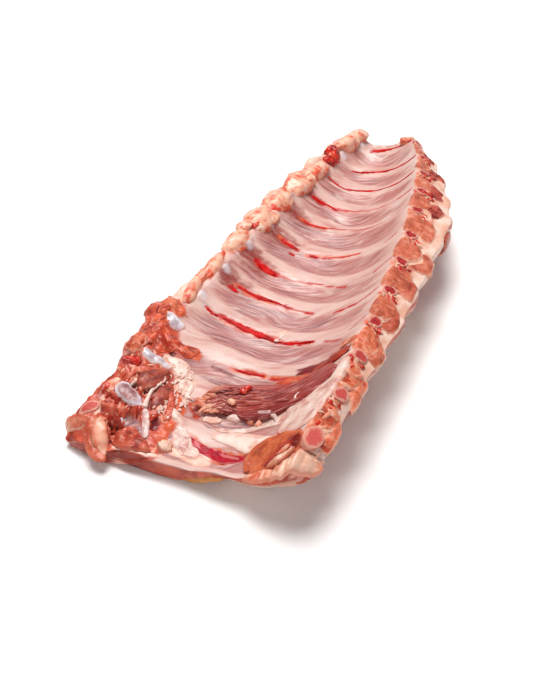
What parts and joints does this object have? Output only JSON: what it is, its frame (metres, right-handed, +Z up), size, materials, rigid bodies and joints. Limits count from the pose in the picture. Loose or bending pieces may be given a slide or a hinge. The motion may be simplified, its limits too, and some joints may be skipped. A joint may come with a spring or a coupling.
{
  "type": "raw pork back rib rack",
  "caption": "Rack of raw pork back ribs lying hollow side up, with membrane, sawn bone ends, bare rib heads and a loose skirt muscle.",
  "frame": {"origin": "middle of the rack's box, on the surface that it lies on", "axes": "+X from the spine edge with its rib heads to the sawn edge, +Y along the rack from the loin end to the shoulder end, +Z up out of the hollow"},
  "size_m": [0.1884, 0.4134, 0.055],
  "materials": {
    "meat": "moist raw pork, fat and thin membrane",
    "bone": "moist raw bone and cartilage",
    "skirt": "moist dark raw muscle"
  },
  "bodies": {
    "root": {"meat": "meat", "rib_01": "bone", "rib_02": "bone", "rib_03": "bone", "rib_04": "bone", "rib_05": "bone", "rib_06": "bone", "rib_07": "bone", "rib_08": "bone", "rib_09": "bone", "rib_10": "bone", "rib_11": "bone", "rib_12": "bone", "skirt_muscle": "skirt"}
  },
  "joints": []
}
